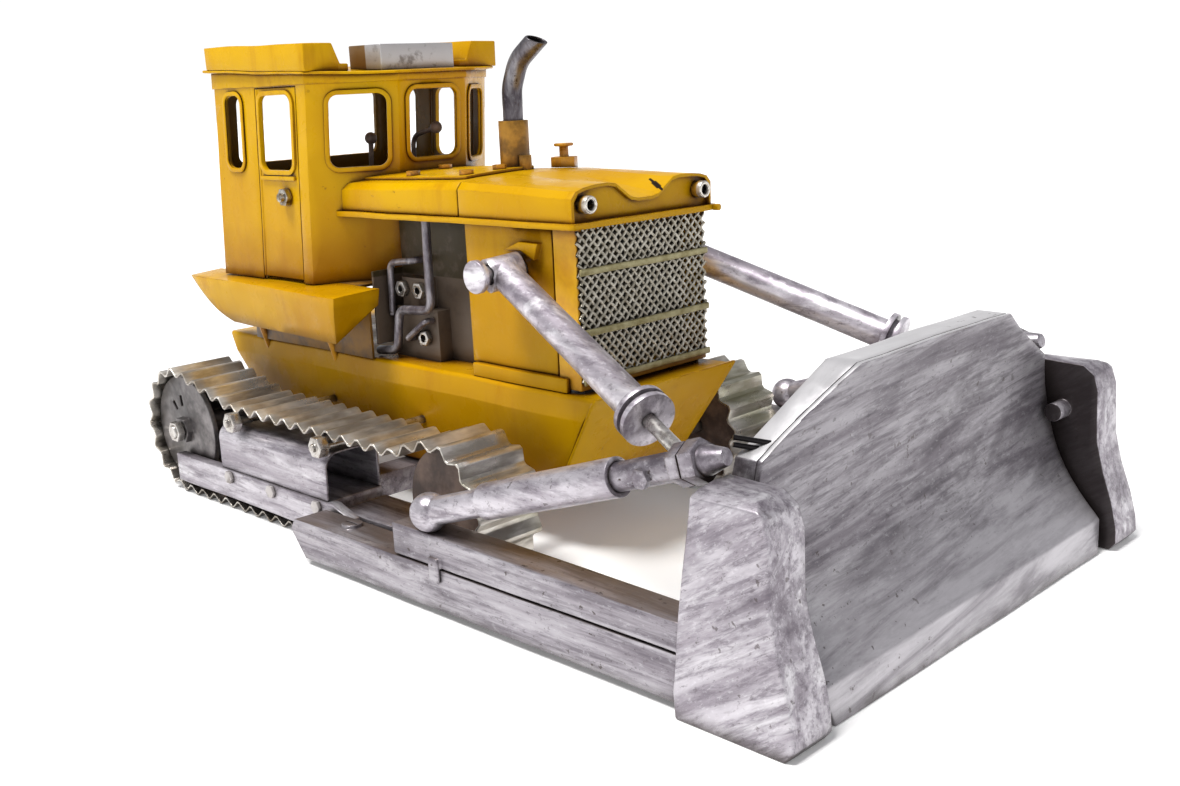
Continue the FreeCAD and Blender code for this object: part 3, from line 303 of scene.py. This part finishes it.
def silver_paint(name, along, bright=1.0, stain=1.0, grime_and_shade=1.0, turn=(0, 0, 0), inner=0.0,
                 brown_top=0.0, top_highlight=0.0, low_highlight=0.0, metal=0.6, ties=False):
    """Silver paint brushed on in strokes that run along one direction.

    inner darkens the faces turned to the middle with painted shade, brown_top browns the upward faces and
    top_highlight paints a highlight on them, low_highlight paints a highlight on the blade's foot, and ties
    blackens the tie wires.
    """
    s = Shader(name)
    facing = s.facing()
    strokes_run = s.coords(along, turn)
    hairs = s.noise(330, 5, 0.70, strokes_run, 0.25)
    strokes = s.noise(110, 5, 0.68, strokes_run, 0.5)
    broad = s.noise(42, 5, 0.62, s.coords([lerp(1, value, 0.72) for value in along], turn), 0.6)
    cloud = s.noise(13, 3, 0.55)
    color = s.mix(s.ramp(strokes, 0.36, 0.62), tone(SILVER["dark"], bright), tone(SILVER["light"], bright))
    color = s.mix(s.ramp(hairs, 0.44, 0.66, 0.0, 0.80), color, tone(SILVER["hair"], bright))
    shade = s.times(s.ramp(broad, 0.46, 0.66), s.ramp(cloud, 0.36, 0.58, 0.15, 1.0))
    color = s.mix(s.times(shade, 0.85 * stain), color, tone(SILVER["stain"], bright))
    shine = s.times(s.ramp(s.noise(75, 5, 0.7, strokes_run, 0.5), 0.55, 0.68), 0.75)
    color = s.mix(shine, color, tone(SILVER["shine"], bright))
    flecks = s.noise(620, 4, 0.75, s.coords([lerp(1, value, 0.6) for value in along], turn))
    color = s.mix(s.ramp(flecks, 0.56, 0.68, 0.0, 0.28), color, tone(SILVER["fleck"], bright))
    color = s.mix(s.ramp(flecks, 0.42, 0.34, 0.0, 0.50), color, tone(SILVER["pit"], bright))
    # painted highlight: faces turned upward are lighter
    if top_highlight > 0:
        color = s.mix(s.times(s.ramp(facing["Z"], 0.74, 0.84), top_highlight), color, SILVER["top"])
    # painted highlight: the blade's foot is lighter, in streaks
    if low_highlight > 0:
        foot = s.ramp(s.place()["Z"], BLADE_HIGHLIGHT_BAND[1], BLADE_HIGHLIGHT_BAND[0])
        lower = s.times(foot, s.ramp(strokes, 0.30, 0.60, 0.35, 1.0))
        color = s.mix(s.times(lower, low_highlight), color, SILVER["low"])
    if brown_top > 0:
        patches = s.ramp(s.noise(40, 5, 0.6, s.coords((0.3, 1, 1))), 0.36, 0.58, 0.35, 1.0)
        above = s.times(s.ramp(facing["Z"], 0.6, 0.9), patches)
        color = s.mix(s.times(above, brown_top), color, SILVER["brown"])
    # dust and painted shade: mottled darkening in creases
    dirt_and_shade = s.times(s.ramp(s.creases(0.010), 0.14, 0.60), s.ramp(s.noise(80, 4), 0.3, 0.6, 0.5, 1.0))
    color = s.mix(s.times(dirt_and_shade, 0.9 * grime_and_shade), color, SILVER["dirt_and_shade"])
    worn = s.times(s.edges(0.0013), s.ramp(s.noise(70, 4), 0.46, 0.60))
    color = s.mix(s.times(worn, 0.55 * stain), color, SILVER["worn"])
    chips = s.times(s.ramp(s.noise(300, 3, 0.6), 0.65, 0.70), s.ramp(cloud, 0.44, 0.58))
    color = s.mix(s.times(chips, 0.85 * stain), color, SILVER["chip"])
    # painted shade: faces turned towards the middle darken
    if inner > 0:
        inward = s.ramp(s.times(facing["Y"], s.place()["Y"]), -0.03, -0.07)
        color = s.mix(s.times(inward, inner), color, SILVER["inside"])
    if ties:
        place = s.place()
        beyond = s.ramp(place["X"], TIE_X - TIE_BLEND, TIE_X + TIE_BLEND)
        inside = s.ramp(s.math("ABSOLUTE", place["Y"]), TIE_Y + TIE_BLEND, TIE_Y - TIE_BLEND)
        color = s.mix(s.times(beyond, inside), color, SILVER["wire"])
    ripple = s.bump(s.noise(55, 2, 0.5), 0.45, 0.0012)
    return s.finish(color, s.ramp(strokes, 0.3, 0.7, 0.46, 0.30), metal, s.bump(hairs, 0.35, 0.00025, ripple))


def belt_metal():
    """Bare tin with brown stains and a little green."""
    s = Shader("belt_metal")
    strokes = s.noise(150, 5, 0.6, s.coords((1, 0.25, 1)))
    stain = s.noise(28, 4, 0.6)
    color = s.mix(s.ramp(strokes, 0.35, 0.68), rgb(0.33, 0.30, 0.26), rgb(0.74, 0.71, 0.66))
    color = s.mix(s.ramp(stain, 0.50, 0.72, 0.0, 0.65), color, rgb(0.20, 0.155, 0.105))
    green = s.times(s.ramp(s.noise(11, 2), 0.60, 0.72), 0.35)
    color = s.mix(green, color, rgb(0.26, 0.27, 0.06))
    # dust and painted shade: darker in creases
    dirt_and_shade = s.ramp(s.creases(0.006), 0.2, 0.65)
    color = s.mix(s.times(dirt_and_shade, 0.9), color, rgb(0.035, 0.024, 0.016))
    return s.finish(color, s.ramp(stain, 0.3, 0.7, 0.24, 0.40), 0.85, s.bump(strokes, 0.25, 0.0003))


def plain_metal(name, low, high, rough, metal, scale):
    """Mottled metal or paint between two colours, darkened in its recesses by dust and painted shade."""
    s = Shader(name)
    grain = s.noise(scale, 5, 0.65)
    color = s.mix(s.ramp(grain, 0.36, 0.66), rgb(*low), rgb(*high))
    # dust and painted shade: darker in recesses
    dirt_and_shade = s.ramp(s.creases(0.006), 0.2, 0.7)
    color = s.mix(s.times(dirt_and_shade, 0.8), color, rgb(0.03, 0.022, 0.018))
    normal = s.bump(grain, 0.35, 0.0005)
    return s.finish(color, s.ramp(grain, 0.3, 0.7, rough - 0.06, rough + 0.08), metal, normal)


def split_metal(name, axis, edge, low_color, high_color, rough, metal):
    """One colour below a station on one axis and another above it."""
    s = Shader(name)
    place = s.place()
    grain = s.noise(130, 5, 0.65)
    above = s.ramp(place[axis], edge - 0.3 * MM, edge + 0.3 * MM)
    color = s.mix(above, rgb(*low_color), rgb(*high_color))
    speckle = s.times(s.ramp(grain, 0.50, 0.66), 0.7)
    color = s.mix(speckle, color, rgb(0.085, 0.062, 0.045))
    # dust and painted shade: darker in recesses
    dirt_and_shade = s.ramp(s.creases(0.006), 0.2, 0.7)
    color = s.mix(s.times(dirt_and_shade, 0.8), color, rgb(0.03, 0.02, 0.015))
    return s.finish(color, rough, metal, s.bump(grain, 0.3, 0.0004))


def lamp_metal():
    """Headlight: a bright rim in front, a painted body behind it and a bore darkened with painted shade."""
    s = Shader("lamp_metal")
    front = s.ramp(s.place()["X"], LAMP_RIM_X - LAMP_BLEND, LAMP_RIM_X + LAMP_BLEND)
    color = s.mix(front, rgb(0.34, 0.17, 0.012), rgb(0.66, 0.62, 0.56))
    # painted shade: the bore is near black
    bore = s.ramp(s.creases(0.0045), 0.42, 0.60)
    color = s.mix(bore, color, rgb(0.006, 0.005, 0.005))
    speck = s.times(s.ramp(s.noise(260, 3), 0.55, 0.68), 0.6)
    color = s.mix(speck, color, rgb(0.12, 0.07, 0.02))
    rough = s.ramp(s.facing()["X"], 0.2, 0.9, 0.42, 0.24)
    return s.finish(color, rough, s.times(front, 0.8), s.bump(s.noise(120, 2), 0.2, 0.0003))


def shell_paint():
    """Radiator shell: yellow outside, with painted shade behind the mesh."""
    s = Shader("shell_paint")
    place = s.place()
    grain = s.noise(90, 5, 0.6)
    outside = s.mix(s.ramp(grain, 0.35, 0.68), rgb(0.62, 0.29, 0.003), rgb(0.78, 0.42, 0.004))
    # dust and painted shade: darker in recesses
    dirt_and_shade = s.ramp(s.creases(0.008), 0.15, 0.6)
    outside = s.mix(s.times(dirt_and_shade, 0.85), outside, rgb(0.12, 0.04, 0.003))
    # painted shade: near black behind the grille mesh
    within = s.ramp(s.math("ABSOLUTE", place["Y"]), MESH_HALF_WIDTH + 0.2 * MM, MESH_HALF_WIDTH - 0.4 * MM)
    behind = s.ramp(place["X"], MESH_BACK_X + 1.2 * MM, MESH_BACK_X + 0.4 * MM)
    dark = s.mix(s.ramp(grain, 0.4, 0.62), rgb(0.010, 0.007, 0.004), rgb(0.060, 0.042, 0.012))
    color = s.mix(s.times(within, behind), outside, dark)
    return s.finish(color, 0.5, 0.0, s.bump(grain, 0.3, 0.0006))


CAB_MIDDLE_X = station(-118)
# heights between which the painted shade low on the cab fades out
CAB_LOW = (98 * MM, 132 * MM)
TEAR_X = station(60.0)               # the hood's front edge
TEAR = (((TEAR_X - 6.5 * MM, 12.4 * MM, 140.1 * MM), (TEAR_X - 2.5 * MM, 10.6 * MM, 138.7 * MM), 1.3 * MM),
        ((TEAR_X - 10.0 * MM, 13.9 * MM, 141.4 * MM), (TEAR_X - 0.3 * MM, 9.8 * MM, 137.8 * MM), 0.7 * MM))

YELLOW = yellow_paint()
CAB_YELLOW = yellow_paint("cab_paint", inside_x=CAB_MIDDLE_X, low=CAB_LOW)
DOOR_YELLOW = yellow_paint("door_paint", inside_x=CAB_MIDDLE_X, knob=True, low=CAB_LOW)
TANK_YELLOW = yellow_paint("tank_paint", low=(70 * MM, 92 * MM), under=0.8)
HULL_YELLOW = yellow_paint("hull_paint", low=(24 * MM, 60 * MM))
HOOD_YELLOW = yellow_paint("hood_paint", tear=TEAR)
SILVER_ARMS = silver_paint("silver_paint_along_x", (0.07, 1, 1), 0.84, brown_top=0.8)
SILVER_BLADE = silver_paint("silver_paint_blade", (1, 0.10, 1), 0.64, 0.85, 0.9, turn=(0.10, 0, 0),
                            top_highlight=0.75, low_highlight=0.6)
SILVER_WINGS = silver_paint("silver_paint_wings", (0.16, 1, 1), 1.06, 0.75, turn=(0, -0.55, 0), inner=0.95)
SILVER_TRACK = silver_paint("silver_paint_track", (0.10, 1, 1), 1.08, 0.85)
PIPES = silver_paint("silver_paint_pipes", (1, 1, 0.3), 0.72, 1.0, 0.9)
CHROME = silver_paint("silver_paint_bright", (0.15, 0.6, 0.5), 1.50, 0.45, 0.9, metal=0.7)
STRUT = silver_paint("silver_paint_strut", (0.12, 0.6, 0.5), 1.20, 0.75, metal=0.7)
KNUCKLE = silver_paint("silver_paint_knuckle", (0.4, 0.6, 0.6), 0.95, 1.25, 1.1, metal=0.75, ties=True)
EXHAUST = silver_paint("silver_paint_exhaust", (1, 1, 0.25), 0.42, 1.3, metal=0.9)
# painted shade: the cab floor is a darkened copy of the yellow paint
SHADED = plain_metal("shaded_paint", (0.055, 0.024, 0.003), (0.24, 0.11, 0.004), 0.45, 0.0, 60)
BELT = belt_metal()
# painted shade: the engine's sheet is near black above 101.5 mm, the shade under the hood
ENGINE_SHEET_SHADE_ABOVE = split_metal("engine_sheet_shade_above", "Z", 101.5 * MM, (0.115, 0.085, 0.062), (0.035, 0.024, 0.006),
                           0.45, 0.25)
WHEEL = plain_metal("dark_wheel", (0.07, 0.064, 0.064), (0.27, 0.25, 0.25), 0.38, 0.7, 50)
RUST = plain_metal("rusty_metal", (0.065, 0.042, 0.034), (0.21, 0.145, 0.115), 0.60, 0.25, 70)
BROWN = plain_metal("brown_metal", (0.13, 0.060, 0.006), (0.40, 0.20, 0.025), 0.34, 0.5, 90)
MESH = plain_metal("mesh_metal", (0.34, 0.31, 0.24), (0.66, 0.63, 0.54), 0.38, 0.55, 300)
BARS = plain_metal("bar_metal", (0.24, 0.20, 0.075), (0.44, 0.40, 0.22), 0.40, 0.4, 120)
STEEL = plain_metal("bright_steel", (0.36, 0.33, 0.30), (0.70, 0.68, 0.65), 0.28, 0.9, 160)
BRASSY = plain_metal("amber_paint", (0.36, 0.14, 0.006), (0.66, 0.32, 0.012), 0.30, 0.2, 120)
BOLTS = split_metal("bolt_paint", "Z", 30 * MM, (0.46, 0.43, 0.42), (0.52, 0.23, 0.01), 0.34, 0.5)
VENT = split_metal("vent_paint", "X", station(-82), (0.22, 0.12, 0.035), (0.46, 0.45, 0.46), 0.40, 0.5)
LAMP = lamp_metal()
SHELL = shell_paint()

LOOKS = {
    "hull_tub": HULL_YELLOW, "hull_front_plate": YELLOW, "hood_rear_cover": YELLOW,
    "hood_front_cover": HOOD_YELLOW, "hood_rim": YELLOW, "hood_plate": YELLOW,
    "small_bolts": BOLTS, "radiator_cap": BRASSY, "exhaust_sleeve": BROWN,
    "exhaust_pipe": EXHAUST, "headlights": LAMP, "grille_bars": BARS,
    "radiator_shell": SHELL, "side_panel_right": YELLOW, "side_panel_left": YELLOW,
    "side_sills": YELLOW, "engine_block": ENGINE_SHEET_SHADE_ABOVE, "coolant_pipes": PIPES,
    "hex_nuts": STEEL, "cab_body": CAB_YELLOW, "cab_window_frames": CAB_YELLOW, "cab_roof": YELLOW,
    "roof_box_right": YELLOW, "roof_box_left": YELLOW, "roof_vent": VENT,
    "cab_floor": SHADED, "fender_right": TANK_YELLOW, "fender_left": TANK_YELLOW,
    "fender_pegs": BRASSY, "track_belt_right": BELT, "track_belt_left": BELT,
    "track_frames": SILVER_TRACK, "roller_covers": SILVER_TRACK, "carrier_bolts": STEEL,
    "axles": STEEL, "lift_pivots": CHROME, "arm_pivot_pins": STEEL, "door_hinge_pins": STEEL,
    "sprocket_right": WHEEL, "sprocket_left": WHEEL, "idler_right": RUST, "idler_left": RUST,
    "cab_door_right": DOOR_YELLOW, "cab_door_left": DOOR_YELLOW,
    "drive_lever": RUST, "blade_lever": RUST,
    "lift_barrel_right": CHROME, "lift_barrel_left": CHROME,
    "lift_rod_right": STEEL, "lift_rod_left": STEEL,
    "blade_plate": SILVER_BLADE, "blade_frame": SILVER_BLADE,
    "blade_wing_right": SILVER_WINGS, "blade_wing_left": SILVER_WINGS,
    "push_arms": SILVER_ARMS, "arm_channels": SILVER_ARMS,
    "struts": STRUT, "strut_rods": KNUCKLE,
}

# ---- skins: each CAD piece again, with softened edges and a hand-formed wobble ----------------------
DEFAULT_SOFTNESS = (0.45, 0.28)      # bevel width and wobble, mm
MOVING_FIT = (0.3, 0.0)              # no wobble where a piece turns or slides in another
SOFTNESS = {}
for softness, names in (
        ((0.55, 0.75), ("blade_plate", "blade_frame")),
        ((1.6, 0.9), ("blade_wing_right", "blade_wing_left")),
        ((0.9, 0.5), ("push_arms", "arm_channels", "track_frames")),
        ((0.5, 0.95), ("fender_right", "fender_left", "roof_box_right", "roof_box_left", "cab_roof")),
        ((0.5, 0.6), ("hood_front_cover", "hood_rear_cover", "hull_tub", "hull_front_plate", "hood_rim")),
        ((0.42, 0.25), ("track_belt_right", "track_belt_left")),
        (MOVING_FIT, ("sprocket_right", "sprocket_left", "idler_right", "idler_left", "axles",
                      "lift_rod_right", "lift_rod_left", "lift_barrel_right", "lift_barrel_left",
                      "drive_lever", "blade_lever", "door_hinge_pins", "arm_pivot_pins", "lift_pivots",
                      "carrier_bolts"))):
    for name in names:
        SOFTNESS[name] = softness

LOW, HIGH = cad_bounds
WOBBLE_SEED = 7                      # without a seed the wobble differs at each start of Blender
NEAR_WAVES, FAR_WAVES = 38, 14       # waves of the wobble per metre
NEAR_SHARE, FAR_SHARE = 0.55, 0.75
FAR_SHIFT = (3.1, -1.7, 0.6)
GRID_STEP = 7.0 * MM
WELD = 1e-6                          # vertices closer than this are one
CUT_MARGIN = 1e-7
FLAT_ANGLE = math.radians(0.6)       # faces that differ less are one flat face
BEVEL_ANGLE = math.radians(32)
SHARP_ANGLE = math.radians(34)


def wobble(p, amount):
    """Smooth push of one point, the same for every piece that meets there."""
    near = p * NEAR_WAVES
    far = Vector([value + shift for value, shift in zip(p, FAR_SHIFT)]) * FAR_WAVES
    push = noise.noise_vector(near) * NEAR_SHARE + noise.noise_vector(far) * FAR_SHARE
    moved = p + push * amount * MM
    for i in range(3):
        moved[i] = min(max(moved[i], LOW[i]), HIGH[i])
    return moved


def grid_cut(bm, step):
    """Cuts the mesh on evenly spaced planes, so that a large flat face can bend."""
    for axis in range(3):
        values = [v.co[axis] for v in bm.verts]
        low, high = min(values), max(values)
        count = int((high - low) / step)
        normal = Vector((0, 0, 0))
        normal[axis] = 1.0
        for i in range(1, count + 1):
            point = Vector((0, 0, 0))
            point[axis] = low + (high - low) * i / (count + 1)
            everything = list(bm.verts) + list(bm.edges) + list(bm.faces)
            bmesh.ops.bisect_plane(bm, geom=everything, dist=CUT_MARGIN, plane_co=point, plane_no=normal)


def skin(name):
    """A rounded and wobbled copy of one CAD piece, which takes its place."""
    source = nodes[name]
    bevel, amount = SOFTNESS.get(name, DEFAULT_SOFTNESS)
    mesh = source.data.copy()
    made = bpy.data.objects.new(name + "_skin", mesh)
    bpy.context.scene.collection.objects.link(made)
    bm = bmesh.new()
    bm.from_mesh(mesh)
    bmesh.ops.remove_doubles(bm, verts=bm.verts, dist=WELD)
    bmesh.ops.dissolve_limit(bm, angle_limit=FLAT_ANGLE, verts=bm.verts, edges=bm.edges)
    bm.to_mesh(mesh)
    bm.free()
    rounding = made.modifiers.new("rounding", "BEVEL")
    rounding.width = bevel * MM
    rounding.segments = 2
    rounding.limit_method = "ANGLE"
    rounding.angle_limit = BEVEL_ANGLE
    rounding.use_clamp_overlap = True
    depsgraph = bpy.context.evaluated_depsgraph_get()
    rounded = bpy.data.meshes.new_from_object(made.evaluated_get(depsgraph))
    made.modifiers.clear()
    made.data = rounded
    bm = bmesh.new()
    bm.from_mesh(rounded)
    if amount > 0:
        grid_cut(bm, GRID_STEP)
        for vertex in bm.verts:
            vertex.co = wobble(vertex.co, amount)
    for face in bm.faces:
        face.smooth = True
    bm.to_mesh(rounded)
    bm.free()
    rounded.set_sharp_from_angle(angle=SHARP_ANGLE)
    rounded.materials.clear()
    rounded.materials.append(LOOKS[name])
    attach(made, source["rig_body"])
    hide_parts(name)


noise.seed_set(WOBBLE_SEED)
for node_name in sorted(nodes):
    if node_name != "grille_mesh":
        skin(node_name)

# ---- woven grille -----------------------------------------------------------------------------------
MESH_PITCH = 2.8 * MM                # between neighbouring wires
WIRE_RADIUS = 0.60 * MM
WEAVE_DEPTH = 0.32 * MM
WEAVE_PLAY = 0.12                    # mm by which a wire lies off its place


def woven_grille():
    """Two families of wires at 45 degrees that pass over and under each other."""
    low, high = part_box("grille_mesh")
    middle = (low + high) / 2
    width, height = high.y - low.y, high.z - low.z
    spacing = MESH_PITCH * math.sqrt(2)          # of the wires along Y
    crossing = MESH_PITCH / math.sqrt(2)         # height from one crossing to the next
    curve = bpy.data.curves.new("woven_grille", "CURVE")
    curve.dimensions = "3D"
    curve.bevel_depth = WIRE_RADIUS
    curve.bevel_resolution = 2
    reach = int((width + height) / spacing) + 2
    steps = int(height / (crossing / 2)) + 2
    rng = random.Random(7)
    for family in (1, -1):
        for i in range(-reach, reach):
            offset = i * spacing + rng.uniform(-WEAVE_PLAY, WEAVE_PLAY) * MM
            points = []
            for k in range(steps):
                z = low.z + height * k / (steps - 1)
                y = middle.y + offset + family * (z - middle.z)
                if low.y <= y <= high.y:
                    phase = math.pi * ((z - low.z) / crossing + i)
                    points.append((middle.x + family * WEAVE_DEPTH * math.cos(phase), y, z))
            if len(points) > 2:
                spline = curve.splines.new("POLY")
                spline.points.add(len(points) - 1)
                for point, co in zip(spline.points, points):
                    point.co = (*co, 1)
    made = bpy.data.objects.new("woven_grille", curve)
    bpy.context.scene.collection.objects.link(made)
    curve.materials.append(MESH)
    bpy.context.view_layer.update()
    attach(made, nodes["grille_mesh"]["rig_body"])
    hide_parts("grille_mesh")


woven_grille()

# ---- stage ------------------------------------------------------------------------------------------
FLOOR_HALF, FLOOR_DROP = 9, 0.2 * MM


def pale_floor():
    """A white floor with a faint glow, a little under the belts."""
    paint = Shader("floor")
    paint.bsdf.inputs["Emission Color"].default_value = rgb(1.0, 1.0, 1.0)
    paint.bsdf.inputs["Emission Strength"].default_value = 0.13
    corners = [(x * FLOOR_HALF, y * FLOOR_HALF, 0) for x, y in ((-1, -1), (1, -1), (1, 1), (-1, 1))]
    floor_mesh = bpy.data.meshes.new("floor")
    floor_mesh.from_pydata(corners, [], [(0, 1, 2, 3)])
    floor_mesh.materials.append(paint.finish(rgb(0.93, 0.93, 0.93), 0.6, 0.0))
    floor = bpy.data.objects.new("floor", floor_mesh)
    floor.location.z = -FLOOR_DROP
    bpy.context.scene.collection.objects.link(floor)


def studio_world():
    """White at the horizon and dimmer overhead, so that metal has something to reflect."""
    world = bpy.data.worlds.new("studio")
    bpy.context.scene.world = world
    world.use_nodes = True
    tree = world.node_tree
    place = tree.nodes.new("ShaderNodeTexCoord")
    split = tree.nodes.new("ShaderNodeSeparateXYZ")
    tree.links.new(place.outputs["Generated"], split.inputs["Vector"])
    ramp = tree.nodes.new("ShaderNodeValToRGB")
    tree.links.new(split.outputs["Z"], ramp.inputs["Fac"])
    first, last = ramp.color_ramp.elements
    first.position, first.color = 0.12, rgb(1.05, 1.05, 1.05)
    last.position, last.color = 0.38, rgb(0.36, 0.36, 0.38)
    tree.links.new(ramp.outputs["Color"], tree.nodes["Background"].inputs["Color"])


def sun(name, toward, strength, angle, tint=(1, 1, 1)):
    light = bpy.data.lights.new(name, "SUN")
    light.energy = strength
    light.angle = math.radians(angle)
    light.color = tint
    made = bpy.data.objects.new(name, light)
    made.rotation_euler = Vector(toward).to_track_quat("-Z", "Y").to_euler()
    bpy.context.scene.collection.objects.link(made)


bpy.context.scene.view_settings.view_transform = "Standard"
pale_floor()
studio_world()
sun("key", (0.12, 0.34, -0.93), 3.8, 22, (1.0, 0.99, 0.97))
sun("fill", (-0.80, 0.30, -0.60), 0.14, 40)

# ---- camera: where the photograph was taken from ----------------------------------------------------
AZIMUTH, ELEVATION, ROLL = (math.radians(a) for a in (45.11, 13.53, -2.68))
CAMERA_PLACE = Vector((0.39045 - MIDDLE_X, -0.36345, 0.17878))
SENSOR_WIDTH, LENS = 36.0, 39.36

forward = Vector((-math.sin(AZIMUTH) * math.cos(ELEVATION),
                  math.cos(AZIMUTH) * math.cos(ELEVATION), -math.sin(ELEVATION)))
right = forward.cross(Vector((0, 0, 1))).normalized()
up = right.cross(forward)
right, up = (right * math.cos(ROLL) + up * math.sin(ROLL),
             up * math.cos(ROLL) - right * math.sin(ROLL))
camera_data = bpy.data.cameras.new("camera")
camera_data.sensor_width = SENSOR_WIDTH
camera_data.lens = LENS
camera = bpy.data.objects.new("camera", camera_data)
camera.matrix_world = Matrix.Translation(CAMERA_PLACE) @ Matrix((right, up, -forward)).transposed().to_4x4()
bpy.context.scene.collection.objects.link(camera)
bpy.context.scene.camera = camera

bpy.context.view_layer.update()
